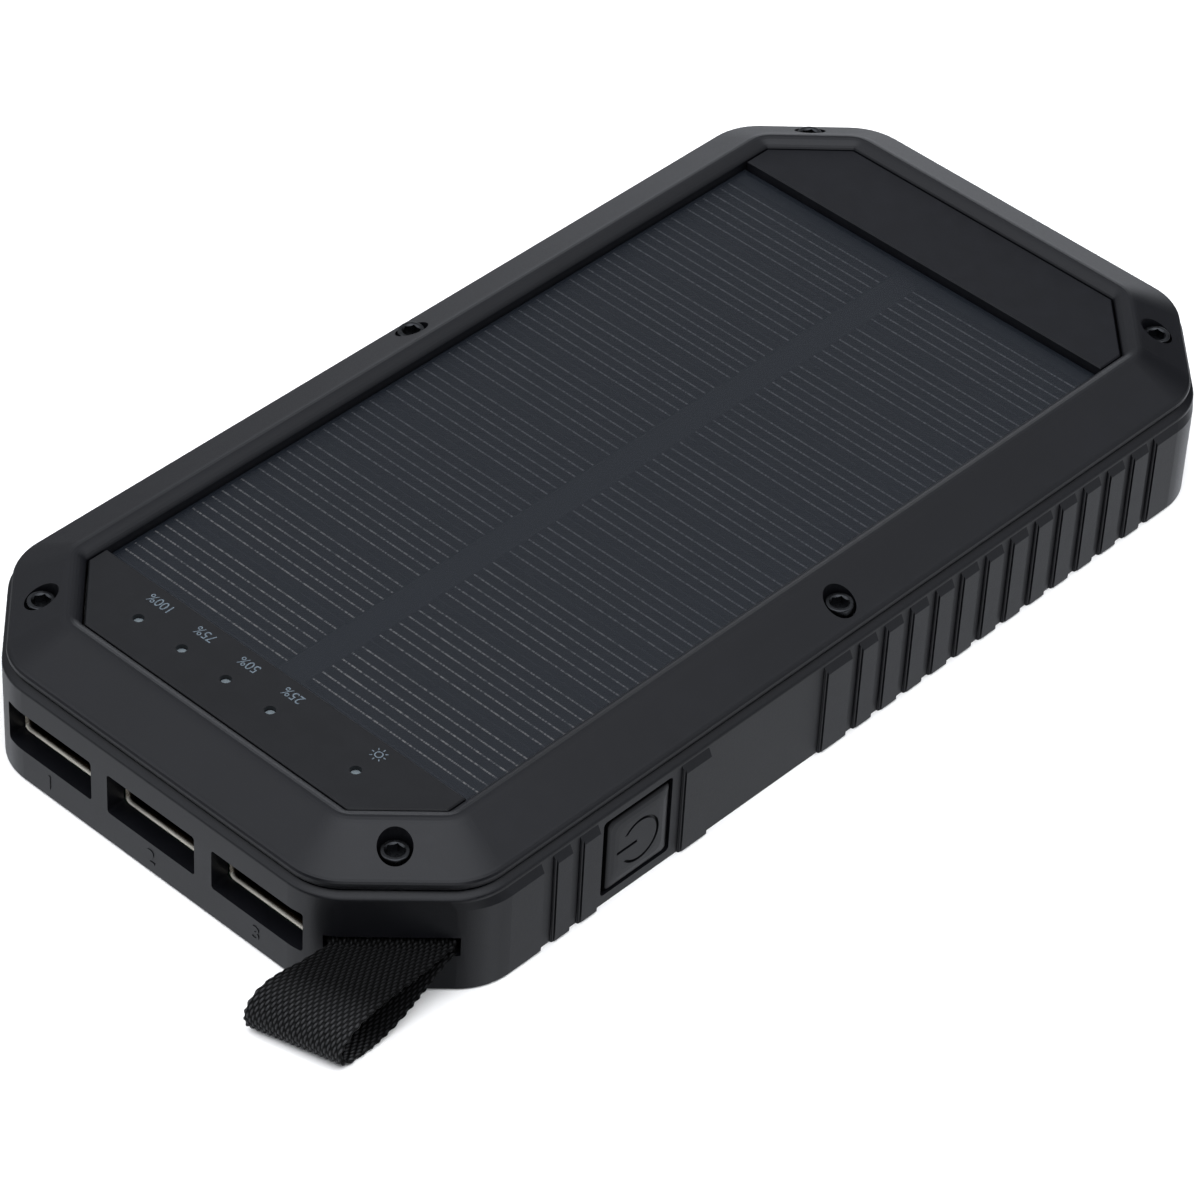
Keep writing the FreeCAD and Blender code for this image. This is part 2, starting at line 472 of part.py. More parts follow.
def build():
    NODES["rear_shell"] = make_rear_shell()
    NODES["front_frame"] = make_front_frame()
    NODES["lamp_plate"] = make_lamp_plate()
    NODES["end_plate"] = plate(END_PLATE_EDGE, 80)

    # Solar panel, from the tray upwards
    NODES["panel_tray"] = make_panel_tray()
    floor = TRAY_FLOOR
    layers = [("panel_adhesive", 25.0, floor, floor + 0.2), ("solar_board", PANEL_HALF_X, floor + 0.2, floor + 1.3),
              ("panel_cover", PANEL_HALF_X, floor + 1.6, floor + 1.9)]
    for name, half, z0, z1 in layers:
        NODES[name] = box(-half, half, PANEL_Y0, PANEL_Y1, z0, z1)
    NODES["panel_adhesive"] = NODES["panel_adhesive"].cut(cylinder(-6, 46, 10, 20, 2.0))
    NODES["solar_cells"] = make_cells()

    # Lamps
    NODES["light_guide"] = make_light_guide()
    NODES["lamp_board"] = box(-21.5, 21.9, LAMP_Y - 3, LAMP_Y + 3, 11.4, 12.4)
    NODES["status_lamps"] = Part.makeCompound(
        [box(x - 0.8, x + 0.8, LAMP_Y - 0.4, LAMP_Y + 0.4, 12.4, 13.0) for x in LAMP_X])

    # Main board and sockets
    NODES["main_board"] = make_main_board()
    for number, x in enumerate(USB_X, 1):
        NODES["usb_shell_%d" % number] = make_usb_shell(x)
    NODES["usb_tongues"] = Part.makeCompound([make_usb_tongue(x) for x in USB_X])
    NODES["usb_contacts"] = Part.makeCompound([c for x in USB_X for c in make_usb_contacts(x)])
    NODES["power_inductor"] = rounded_box_y(2.5, 7.0, BOARD_TOP, BOARD_TOP + 4.0, 0.6, -53.6, -46.8)
    NODES["board_chips"] = make_chips()
    NODES["board_screws"] = Part.makeCompound(
        [cylinder(x, y, BOARD_TOP, BOARD_TOP + 0.8, 1.5).fuse(cylinder(x, y, 1.2, BOARD_TOP + 0.1, 0.7))
         .removeSplitter() for x, y in BOARD_SCREW_AT])

    # Charge input on the -X side
    NODES["charge_board"] = box(-33.4, -28.3, -41.4, -28.9, 3.6, 5.2)
    NODES["charge_socket"] = make_charge_socket()
    NODES["charge_tongue"] = union([box(-32.6, -29.1, BUTTON_MID_Y - 2.2, BUTTON_MID_Y + 2.2, 6.6, 7.2),
                                    box(-30.2, -29.0, BUTTON_MID_Y - 3.3, BUTTON_MID_Y + 3.3, 5.6, 7.4)])

    # Button and switch
    NODES["power_button"] = make_button()
    NODES["switch_plunger"] = Part.makeCylinder(1.4, 1.2, V(31.7, BUTTON_MID_Y, BUTTON_MID_Z), X_AXIS)
    NODES["switch_body"] = make_switch_body()
    NODES["switch_board"] = box(29.0, 30.0, BUTTON_MID_Y - 6.2, BUTTON_MID_Y + 6.2, FLOOR, 11.0)

    # Battery pack
    NODES["battery_foam"] = box(-26, 26, -40, 54, FLOOR, 1.9)
    NODES["battery_cell_lower"] = rounded_box_y(0, 55, 1.9, 6.4, 1.4, -43.0, 58.0)
    NODES["battery_tape"] = box(-22, 22, -36, 50, 6.4, 6.6)
    NODES["battery_cell_upper"] = rounded_box_y(0, 55, 6.6, 11.1, 1.4, -43.0, 58.0)
    for name, x in (("battery_lead_red", 20.6), ("battery_lead_black", 22.8)):
        NODES[name] = wire_lead([(x, -43.0, 9.0), (x, -47.9, 9.0), (x, -47.9, BOARD_TOP)], 0.6)
    for name, x in (("solar_lead_red", -6.7), ("solar_lead_black", -5.3)):
        NODES[name] = wire_lead([(x, 46.0, TRAY_FLOOR + 0.2), (x, 46.0, 11.75), (x - 18.6, -47.6, 11.75),
                                 (x - 18.6, -47.6, BOARD_TOP)], 0.5)
    NODES["charge_leads"] = Part.makeCompound(
        [wire_lead([(x, -41.4, 4.4), (x, -43.9, 4.4), (x, -43.9, 3.5), (x, -46.5, 3.5)], 0.4, 0.4)
         for x in (-31.9, -30.3)])

    # Fixings
    NODES["frame_screws"] = make_screws()
    NODES["threaded_inserts"] = make_inserts()

    # Wrist loop
    half = STRAP_W / 2
    low, high = STRAP_Z - TAIL_HALF, STRAP_Z + TAIL_HALF
    NODES["strap_clip"] = corner_block(62.7, CORNER_DIST - WALL, SLOT_ALONG - 4.9, SLOT_ALONG + 5.7, 4.5, 8.1).cut(
        corner_block(TAIL_DIST, 66, SLOT_ALONG - half - 1, SLOT_ALONG + half + 1, low, high))
    NODES["strap_tail"] = corner_block(TAIL_DIST, CORNER_DIST, SLOT_ALONG - half, SLOT_ALONG + half, low, high)
    NODES["strap_loop"] = make_strap_loop()


def export():
    os.makedirs("parts", exist_ok=True)
    for name, shape in NODES.items():
        shape.exportStep("parts/%s.step" % name)


build()
export()
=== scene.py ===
"""Solar power bank: surfaces, webbing, panel print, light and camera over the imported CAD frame.
Metres, same frame as the CAD: origin at the centre of the back face, +Z towards the panel."""
import math

import bpy
from mathutils import Matrix, Vector


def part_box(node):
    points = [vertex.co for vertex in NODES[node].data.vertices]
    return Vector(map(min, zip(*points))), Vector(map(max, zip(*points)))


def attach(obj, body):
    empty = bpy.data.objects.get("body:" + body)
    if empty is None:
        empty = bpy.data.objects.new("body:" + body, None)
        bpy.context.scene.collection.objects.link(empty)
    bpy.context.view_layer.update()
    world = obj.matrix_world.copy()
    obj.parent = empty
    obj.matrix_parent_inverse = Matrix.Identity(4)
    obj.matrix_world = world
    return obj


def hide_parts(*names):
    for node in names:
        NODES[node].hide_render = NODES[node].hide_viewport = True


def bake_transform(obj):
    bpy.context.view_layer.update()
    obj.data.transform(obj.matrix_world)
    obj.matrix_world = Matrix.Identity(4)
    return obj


MM = 0.001
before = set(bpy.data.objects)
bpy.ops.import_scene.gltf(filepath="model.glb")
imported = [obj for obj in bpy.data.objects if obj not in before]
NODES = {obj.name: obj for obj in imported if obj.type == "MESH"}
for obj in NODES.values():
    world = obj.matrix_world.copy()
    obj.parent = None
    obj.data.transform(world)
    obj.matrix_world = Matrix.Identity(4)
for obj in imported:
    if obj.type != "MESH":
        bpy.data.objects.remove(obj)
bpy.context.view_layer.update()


# ---------------------------------------------------------------- node helpers
class Graph:
    """Small helper round a node tree: adds nodes and links them in one call."""

    def __init__(self, tree):
        self.tree = tree
        tree.nodes.clear()

    def add(self, kind, inputs=None, **settings):
        node = self.tree.nodes.new(kind)
        for name, value in settings.items():
            setattr(node, name, value)
        for name, value in (inputs or {}).items():
            if isinstance(value, bpy.types.NodeSocket):
                self.tree.links.new(value, node.inputs[name])
            else:
                node.inputs[name].default_value = value
        return node

    def math(self, operation, a, b=0.0):
        return self.add("ShaderNodeMath", {0: a, 1: b}, operation=operation).outputs[0]

    def place(self, stretch=(1, 1, 1)):
        """Object-space position, stretched along its axes."""
        where = self.add("ShaderNodeTexCoord").outputs["Object"]
        return self.add("ShaderNodeMapping", {"Vector": where, "Scale": stretch}).outputs[0]

    def axes(self):
        """Object-space X, Y and Z, in metres."""
        return self.add("ShaderNodeSeparateXYZ", {0: self.place()}).outputs

    def noise(self, scale, detail=2.0, roughness=0.5, stretch=(1, 1, 1)):
        inputs = {"Vector": self.place(stretch), "Scale": scale, "Detail": detail, "Roughness": roughness}
        return self.add("ShaderNodeTexNoise", inputs).outputs["Fac"]

    def attribute(self, name):
        return self.add("ShaderNodeAttribute", attribute_name=name).outputs["Fac"]

    def span(self, value, low, high, to_low, to_high, smooth=False):
        """value carried from the range low to high over to the range to_low to to_high."""
        kind = "SMOOTHSTEP" if smooth else "LINEAR"
        return self.add("ShaderNodeMapRange", {"Value": value, "From Min": low, "From Max": high,
                                               "To Min": to_low, "To Max": to_high},
                        interpolation_type=kind).outputs[0]

    def blend(self, factor, a, b):
        """Colour a where factor is 0, colour b where it is 1."""
        node = self.add("ShaderNodeMix", data_type="RGBA", blend_type="MIX")
        for socket, value in ((0, factor), (6, a), (7, b)):
            if isinstance(value, bpy.types.NodeSocket):
                self.tree.links.new(value, node.inputs[socket])
            else:
                node.inputs[socket].default_value = value
        return node.outputs[2]

    def bump(self, height, distance):
        return self.add("ShaderNodeBump", {"Height": height, "Distance": distance, "Strength": 1.0}).outputs[0]


def rgb(r, g, b):
    return (r, g, b, 1.0)


def tinted(color, factor):
    return rgb(*[c * factor for c in color])


def new_material(name):
    material = bpy.data.materials.new(name)
    material.use_nodes = True
    return material, Graph(material.node_tree)


def finish_material(graph, **inputs):
    shader = graph.add("ShaderNodeBsdfPrincipled", inputs)
    graph.add("ShaderNodeOutputMaterial", {"Surface": shader.outputs[0]})
    return shader


def moulded(name, color, roughness=0.5, grain=0.16, depth=0.010, level=0.5, flank=None):
    """Moulded plastic: fine spark-eroded grain, slight cloudiness, worn and paler along edges.

    grain and depth of the texture are in millimetres; level is the specular level; flank is the X,
    in millimetres, where painted shade on the sides, standing in for the shade of a pocket, starts to clear
    and where it is gone.
    """
    material, g = new_material(name)
    clouds = g.noise(90, 3)
    fine = g.noise(1000 / grain, 2, 0.6)
    edges = g.span(g.add("ShaderNodeNewGeometry").outputs["Pointiness"], 0.52, 0.62, 0.0, 1.0)
    rub = g.math("MULTIPLY", edges, g.span(g.noise(400, 3), 0.4, 0.7, 0.1, 0.5))
    cloudy = g.blend(g.span(clouds, 0.3, 0.7, 0, 1), tinted(color, 0.9), tinted(color, 1.1))
    base = g.blend(rub, cloudy, rgb(*[c * 1.8 + 0.001 for c in color]))
    rough = g.math("ADD", g.span(fine, 0.3, 0.7, roughness - 0.04, roughness + 0.05),
                   g.math("MULTIPLY", rub, -0.06))
    # painted shade: below the flank X the sides turn near black and lose their shine, standing in for the
    # shade of the pocket
    if flank:
        out_of_painted_shade = g.span(g.axes()["X"], flank[0] * MM, flank[1] * MM, 0, 1, True)
        base = g.blend(out_of_painted_shade, rgb(0.0003, 0.0003, 0.0003), base)
        level = g.span(out_of_painted_shade, 0, 1, 0.02, level)
    finish_material(g, **{"Base Color": base, "Roughness": rough, "Specular IOR Level": level,
                          "Normal": g.bump(fine, depth * MM)})
    return material


def metal(name, color, roughness, stretch=(1, 1, 1), scale=3000, depth=0.004):
    """Metal with fine marks; stretch draws them out along an axis."""
    material, g = new_material(name)
    marks = g.noise(scale, 3, 0.6, stretch)
    base = g.blend(g.span(marks, 0.3, 0.7, 0, 1), tinted(color, 0.85), rgb(*color))
    finish_material(g, **{"Base Color": base, "Metallic": 1.0,
                          "Roughness": g.span(marks, 0.3, 0.7, roughness - 0.06, roughness + 0.08),
                          "Normal": g.bump(marks, depth * MM)})
    return material


def plated_steel(name, axis, socket):
    """Bright plated steel along the foot of a socket's mouth, with painted shade turning it dark brown further
    in and up.

    axis is the letter of the one that runs into the socket; socket is the node it is measured from.
    """
    material, g = new_material(name)
    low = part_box(socket)[0]
    lip, foot = low["XYZ".index(axis)], low[2]
    where = g.axes()
    # painted shade: the colour darkens to brown going into the socket and up its walls, where its shade falls
    painted_inner_shade = g.math("MAXIMUM", g.span(where[axis], lip + 0.04 * MM, lip + 0.52 * MM, 0, 1, True),
                    g.span(where["Z"], foot + 0.40 * MM, foot + 0.85 * MM, 0, 0.72, True))
    marks = g.noise(1500, 3, 0.6, (0.15, 1, 1))
    base = g.blend(painted_inner_shade, g.blend(marks, rgb(0.90, 0.85, 0.74), rgb(0.96, 0.93, 0.86)),
                   g.blend(marks, rgb(0.020, 0.014, 0.008), rgb(0.050, 0.034, 0.020)))
    finish_material(g, **{"Base Color": base, "Metallic": g.span(painted_inner_shade, 0, 1, 0.15, 1.0),
                          "Roughness": g.span(marks, 0.3, 0.7, 0.15, 0.25)})
    return material


def solid(name, color, roughness=0.5, variation=0.12, scale=800):
    """Plain moulded or coated inner part with light mottling."""
    material, g = new_material(name)
    mottle = g.noise(scale, 3)
    base = g.blend(g.span(mottle, 0.3, 0.7, 0, 1), tinted(color, 1 - variation), rgb(*color))
    finish_material(g, **{"Base Color": base,
                          "Roughness": g.span(mottle, 0.3, 0.7, roughness - 0.05, roughness + 0.05),
                          "Normal": g.bump(mottle, 0.01 * MM)})
    return material


def circuit_board(name, color):
    """Solder mask over copper tracks."""
    material, g = new_material(name)
    cells = g.add("ShaderNodeTexVoronoi", {"Vector": g.place(), "Scale": 420.0},
                  distance="MANHATTAN").outputs["Distance"]
    track = g.span(cells, 0.30, 0.34, 0.0, 1.0)
    base = g.blend(track, rgb(*color), tinted(color, 1.7))
    finish_material(g, **{"Base Color": base, "Roughness": g.span(track, 0, 1, 0.28, 0.38),
                          "Normal": g.bump(track, 0.02 * MM)})
    return material


def assign(material, *names):
    for name in names:
        mesh = NODES[name].data
        mesh.materials.clear()
        mesh.materials.append(material)


# ---------------------------------------------------------------- materials
SHELL_BLACK = (0.0030, 0.0032, 0.0044)
shell = moulded("shell_abs", SHELL_BLACK, 0.35)
assign(shell, "rear_shell")
assign(moulded("frame_abs", (0.0034, 0.0036, 0.0048), 0.36), "front_frame")
assign(moulded("plate_abs", (0.0034, 0.0036, 0.0044), 0.36, grain=0.14, depth=0.008), "lamp_plate")
assign(moulded("end_plate_abs", (0.0028, 0.0030, 0.0042), 0.38, grain=0.14, depth=0.008,
               level=0.34), "end_plate")
# the power button's sides carry painted shade below X 36.26 mm, standing in for the dark gap round it
assign(moulded("button_abs", SHELL_BLACK, 0.34, grain=0.12, depth=0.006,
               flank=(35.98, 36.26)), "power_button")
assign(moulded("inner_abs", (0.030, 0.030, 0.030), 0.55), "panel_tray", "switch_plunger")
assign(metal("black_oxide", (0.082, 0.085, 0.090), 0.30, depth=0.001), "frame_screws")
assign(plated_steel("plated_usb", "Y", "usb_shell_1"), "usb_shell_1", "usb_shell_2", "usb_shell_3")
assign(plated_steel("plated_socket", "X", "charge_socket"), "charge_socket")
assign(metal("spring_steel", (0.6, 0.6, 0.61), 0.35), "board_screws", "strap_clip")
assign(metal("turned_brass", (0.78, 0.58, 0.28), 0.32, stretch=(1, 1, 4)), "threaded_inserts")
assign(metal("contact_gold", (0.90, 0.66, 0.28), 0.22), "usb_contacts")
assign(metal("pouch_foil", (0.62, 0.63, 0.66), 0.34, scale=600, depth=0.02), "battery_cell_lower",
       "battery_cell_upper")
assign(solid("socket_insert", (0.012, 0.012, 0.013), 0.45), "usb_tongues", "charge_tongue")
assign(solid("chip_epoxy", (0.022, 0.022, 0.023), 0.5), "board_chips", "switch_body")
assign(solid("ferrite", (0.06, 0.06, 0.065), 0.65), "power_inductor")
assign(solid("foam", (0.07, 0.07, 0.07), 0.9), "battery_foam", "panel_adhesive")
assign(solid("wrap_tape", (0.62, 0.50, 0.16), 0.4), "battery_tape")
assign(solid("red_insulation", (0.45, 0.02, 0.018), 0.4),
       "battery_lead_red", "solar_lead_red", "charge_leads")
assign(solid("black_insulation", (0.015, 0.015, 0.015), 0.4),
       "battery_lead_black", "solar_lead_black")
assign(circuit_board("green_board", (0.005, 0.030, 0.014)),
       "main_board", "lamp_board", "charge_board", "switch_board")
assign(solid("panel_laminate", (0.0088, 0.0110, 0.0180), 0.38, 0.1, 60), "solar_board")


def lamp_material():
    material, g = new_material("lamp_phosphor")
    speck = g.noise(4000, 2)
    finish_material(g, **{"Base Color": g.blend(speck, rgb(0.8, 0.78, 0.55), rgb(0.95, 0.94, 0.85)),
                          "Roughness": 0.3, "Subsurface Weight": 0.2,
                          "Subsurface Radius": (0.001, 0.001, 0.001)})
    return material


def light_guide_material():
    """Clear, slightly milky acrylic: pale at the pin tips."""
    material, g = new_material("light_guide_acrylic")
    haze = g.noise(2500, 2)
    base = g.blend(haze, rgb(0.105, 0.125, 0.140), rgb(0.140, 0.165, 0.182))
    finish_material(g, **{"Base Color": base, "Roughness": g.span(haze, 0.3, 0.7, 0.12, 0.25),
                          "Specular IOR Level": 0.6})
    return material


assign(lamp_material(), "status_lamps")
assign(light_guide_material(), "light_guide")


def cell_material():
    """Dark silicon with crystal facets of slightly different blue."""
    material, g = new_material("silicon_cell")
    crystals = g.add("ShaderNodeTexVoronoi", {"Vector": g.place((1, 0.6, 1)), "Scale": 260.0})
    tone = g.add("ShaderNodeSeparateColor", {0: crystals.outputs["Color"]}).outputs[0]
    cloud = g.noise(60, 2)
    base = g.blend(tone, rgb(0.0070, 0.0090, 0.0170), rgb(0.0090, 0.0115, 0.0205))
    base = g.blend(g.span(cloud, 0.3, 0.7, 0, 1), base, rgb(0.0088, 0.0110, 0.0180))
    finish_material(g, **{"Base Color": base, "Roughness": g.span(tone, 0, 1, 0.36, 0.44),
                          "Normal": g.bump(tone, 0.002 * MM)})
    return material


def cover_material():
    """Clear satin laminate over the cells."""
    material, g = new_material("clear_laminate")
    haze = g.noise(2200, 2)
    base = g.blend(haze, rgb(0.0062, 0.0084, 0.0122), rgb(0.0080, 0.0104, 0.0146))
    finish_material(g, **{"Base Color": base, "Alpha": 0.62, "Specular IOR Level": 0.91,
                          "Roughness": g.span(haze, 0.3, 0.7, 0.30, 0.36),
                          "Normal": g.bump(haze, 0.001 * MM)})
    return material


def finger_material():
    """Printed silver grid fingers: broken, sparkling dots, with a painted highlight making them brightest at
    the USB end.
    """
    material, g = new_material("silver_fingers")
    dots = g.noise(5200, 2, 0.6, (1, 0.3, 1))
    # painted highlight: the silver is brightest near the USB end and dims going away from it
    along = g.span(g.axes()["Y"], -52 * MM, -12 * MM, 0, 1, True)
    painted_highlight_silver = g.blend(along, rgb(0.62, 0.61, 0.60), rgb(0.210, 0.215, 0.235))
    base = g.blend(g.span(dots, 0.36, 0.66, 0, 1, True), rgb(0.050, 0.055, 0.065), painted_highlight_silver)
    finish_material(g, **{"Base Color": base, "Roughness": 0.45, "Metallic": 0.2,
                          "Normal": g.bump(dots, 0.01 * MM)})
    return material


assign(cell_material(), "solar_cells")
assign(cover_material(), "panel_cover")


# ---------------------------------------------------------------- mesh helpers
def piece(name, verts, faces, material, body="charger", smooth=True):
    mesh = bpy.data.meshes.new(name)
    mesh.from_pydata([tuple(v) for v in verts], [], faces)
    mesh.materials.append(material)
    mesh.validate()
    if smooth:
        mesh.polygons.foreach_set("use_smooth", [True] * len(mesh.polygons))
    obj = bpy.data.objects.new(name, mesh)
    bpy.context.scene.collection.objects.link(obj)
    if body:
        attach(obj, body)
    return obj


def slabs(name, boxes, material):
    """Many thin rectangular bars in one mesh."""
    verts, faces = [], []
    for (x0, y0, z0), (x1, y1, z1) in boxes:
        n = len(verts)
        verts += [(x, y, z) for z in (z0, z1) for x, y in ((x0, y0), (x1, y0), (x1, y1), (x0, y1))]
        faces += [(n, n + 3, n + 2, n + 1), (n + 4, n + 5, n + 6, n + 7)]
        faces += [(n + i, n + (i + 1) % 4, n + 4 + (i + 1) % 4, n + 4 + i) for i in range(4)]
    return piece(name, verts, faces, material, smooth=False)


# ---------------------------------------------------------------- grid fingers on the cells
FINGERS, FINGER_PITCH, FINGER_W, ROW_PITCH, ROWS = 6, 1.47, 0.20, 10.0, 10
FINGER_UNDER, FINGER_TOP = 0.004, 0.02
COLUMN_GAP, FINGER_INSET = 1.95, 0.05
low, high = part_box("solar_cells")
row0 = (low[1] + high[1]) / 2 / MM - ROW_PITCH * (ROWS - 1) / 2
cell_top = high[2] / MM
bars = []
for row in range(ROWS):
    for k in range(FINGERS):
        y = row0 + ROW_PITCH * row + FINGER_PITCH * (k - (FINGERS - 1) / 2)
        for x0, x1 in ((low[0] / MM + FINGER_INSET, -COLUMN_GAP), (COLUMN_GAP, high[0] / MM - FINGER_INSET)):
            bars.append(((x0 * MM, (y - FINGER_W / 2) * MM, (cell_top + FINGER_UNDER) * MM),
                         (x1 * MM, (y + FINGER_W / 2) * MM, (cell_top + FINGER_TOP) * MM)))
slabs("grid_fingers", bars, finger_material())


# ---------------------------------------------------------------- printed marks and numerals
def print_material():
    material, g = new_material("pad_print")
    worn = g.noise(3000, 3)
    base = g.blend(g.span(worn, 0.35, 0.6, 0, 1), rgb(0.050, 0.066, 0.082), rgb(0.092, 0.118, 0.142))
    finish_material(g, **{"Base Color": base, "Roughness": 0.5, "Normal": g.bump(worn, 0.004 * MM)})
    return material


def lettering(name, text, size, matrix, material, depth):
    """Flat characters a little proud of the surface, centred on the matrix."""
    curve = bpy.data.curves.new(name, "FONT")
    curve.body, curve.size, curve.extrude = text, size, depth / 2
    curve.align_x, curve.align_y = "CENTER", "CENTER"
    curve.resolution_u = 6
    source = bpy.data.objects.new(name + "_source", curve)
    bpy.context.scene.collection.objects.link(source)
    bpy.context.view_layer.update()
    settled = source.evaluated_get(bpy.context.evaluated_depsgraph_get())
    mesh = bpy.data.meshes.new_from_object(settled)
    bpy.data.objects.remove(source)
    mesh.transform(matrix)
    mesh.materials.clear()
    mesh.materials.append(material)
    mesh.name = name
    obj = bpy.data.objects.new(name, mesh)
    bpy.context.scene.collection.objects.link(obj)
    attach(obj, "charger")
    return obj


MARKS = (("100%", -16.65), ("75%", -9.75), ("50%", -3.0), ("25%", 3.7))
MARK_Y, MARK_SIZE, INK_THICK = -54.05, 1.85, 0.012
SUN_X, SUN_R = 16.45, 1.0
USB_END_Y, NUMERAL_Z, NUMERAL_SIZE = -71.0, 2.3, 2.7
plate_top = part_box("lamp_plate")[1][2]
ink = print_material()
turned = Matrix.Rotation(math.pi, 4, "Z")
narrowed = Matrix.Scale(0.90, 4, (1, 0, 0))
for text, x in MARKS:
    at = Matrix.Translation((x * MM, MARK_Y * MM, plate_top + INK_THICK / 2 * MM))
    lettering("mark_" + text[:-1], text, MARK_SIZE * MM, at @ turned @ narrowed, ink, INK_THICK * MM)


def sun_mark(x, y, z, r, thick):
    """Small ring with eight rays, printed proud of the plate."""
    verts, faces = [], []

    def prism(points):
        n, k = len(verts), len(points)
        verts.extend((px, py, z) for px, py in points)
        verts.extend((px, py, z + thick) for px, py in points)
        faces.extend((tuple(range(n, n + k))[::-1], tuple(range(n + k, n + 2 * k))))
        faces.extend((n + i, n + (i + 1) % k, n + k + (i + 1) % k, n + k + i) for i in range(k))

    steps = 36
    ring = [[(x + q * math.cos(math.tau * k / steps), y + q * math.sin(math.tau * k / steps))
             for k in range(steps)] for q in (r * 0.36, r * 0.50)]
    for height in (0.0, thick):
        for circle in ring:
            verts.extend((px, py, z + height) for px, py in circle)
    for k in range(steps):
        a, b = k, (k + 1) % steps
        lower_in, lower_out, upper_in, upper_out = 0, steps, 2 * steps, 3 * steps
        faces.append((upper_in + a, upper_out + a, upper_out + b, upper_in + b))
        faces.append((lower_in + b, lower_out + b, lower_out + a, lower_in + a))
        faces.append((lower_out + a, lower_out + b, upper_out + b, upper_out + a))
        faces.append((lower_in + b, lower_in + a, upper_in + a, upper_in + b))
    for k in range(8):
        t = math.tau * k / 8
        out = Vector((math.cos(t), math.sin(t)))
        side = Vector((-math.sin(t), math.cos(t))) * r * 0.065
        a, b = Vector((x, y)) + out * r * 0.68, Vector((x, y)) + out * r
        prism([a - side, b - side, b + side, a + side])
    return piece("mark_sun", verts, faces, ink, smooth=False)


sun_mark(SUN_X * MM, MARK_Y * MM, plate_top, SUN_R * MM, INK_THICK * MM)

faced = Matrix.Rotation(math.pi / 2, 4, "X")
for number, x in enumerate((-16.2, -0.3, 15.7), 1):
    at = Matrix.Translation((x * MM, USB_END_Y * MM - 0.02 * MM, NUMERAL_Z * MM))
    lettering("numeral_%d" % number, str(number), NUMERAL_SIZE * MM, at @ faced, shell, 0.12 * MM)


# ---------------------------------------------------------------- webbing loop
# Millimetres. A point of the strap corner is given by its distance out from the axis of the body,
# square to the corner face, its place along that face, and its height.
SLOT_ALONG, STRAP_HALF_W, PLY = -25.0, 6.6, 0.8
ROOT_DIST = 67.45
TAIL = 15.0
TIPS = ((23.25, -80.3), (34.55, -77.35))
# Outer side of the loop, as fraction of its length and height: over the top, round the fold and back
LOOP_OUTSIDE = [(-0.22, 7.22), (-0.1, 7.24), (0.0, 7.25), (0.18, 6.95), (0.37, 6.55), (0.57, 6.35),
                (0.76, 5.8), (0.90, 4.7), (0.98, 3.3), (1.0, 2.1), (0.97, 0.8), (0.90, 0.2),
                (0.78, 0.08), (0.64, 0.3), (0.45, 1.35), (0.25, 3.2), (0.08, 4.95), (0.0, 5.33),
                (-0.1, 5.37), (-0.22, 5.38)]
WARP_COUNT, PICK = 34, 1.04
# The surface of the webbing moves from its ply thickness in to the valleys and out by the yarn
PLY_SKIN, YARN_LOW, YARN_RISE = 0.09, 0.12, 0.22


def corner_point(dist, along, z):
    s = math.sqrt(0.5)
    return Vector(((dist + along) * s, (along - dist) * s, z))


def spline(points, per_span):
    """Points along a Catmull-Rom curve through the given ones."""
    out = []
    ends = [points[0] * 2 - points[1]] + points + [points[-1] * 2 - points[-2]]
    for a, b, c, d in zip(ends, ends[1:], ends[2:], ends[3:]):
        for k in range(per_span):
            t = k / per_span
            out.append(0.5 * ((2 * b) + (c - a) * t + (2 * a - 5 * b + 4 * c - d) * t * t
                              + (3 * b - a - 3 * c + d) * t ** 3))
    out.append(points[-1].copy())
    return out


def evenly(points, count):
    """The same line with count points at equal spacing; also its length."""
    lengths = [0.0]
    for a, b in zip(points, points[1:]):
        lengths.append(lengths[-1] + (b - a).length)
    out, k = [], 0
    for i in range(count):
        target = lengths[-1] * i / (count - 1)
        while k < len(points) - 2 and lengths[k + 1] < target:
            k += 1
        span = max(lengths[k + 1] - lengths[k], 1e-9)
        out.append(points[k].lerp(points[k + 1], min(max((target - lengths[k]) / span, 0), 1)))
    return out, lengths[-1]


def loop_side(along, tip, count):
    """Middle line of the webbing at one edge: out of the slot, round the fold and back in."""
    root = corner_point(ROOT_DIST, along, 0)
    run = Vector((tip[0], tip[1], 0)) - root
    length = run.length
    run.normalize()
    corners = [Vector((f * (length if f > 0 else TAIL), h, 0)) for f, h in LOOP_OUTSIDE]
    outside = evenly(spline(corners, 16), count)[0]
    line = []
    for k, point in enumerate(outside):
        ahead = (outside[min(k + 1, count - 1)] - outside[max(k - 1, 0)]).normalized()
        s, z = point.x + ahead.y * PLY / 2, point.y - ahead.x * PLY / 2
        if s < 0:
            line.append(corner_point(ROOT_DIST + s * 1.1, along, z))
        else:
            line.append(root + run * s + Vector((0, 0, z)))
    return evenly(line, count)


def yarn_height(u, v):
    """Height, 0 to 1, of plain-woven yarn: u counts warp ends across, v is millimetres from the fold."""
    column = math.floor(u)
    across = u - column - 0.5
    phase = v / PICK + 0.5 * (column % 2)
    rise = 0.5 + 0.5 * math.cos(math.tau * phase)
    body = max(0.0, 1 - (2.0 * across) ** 2) ** 0.5
    return body * rise ** 0.7


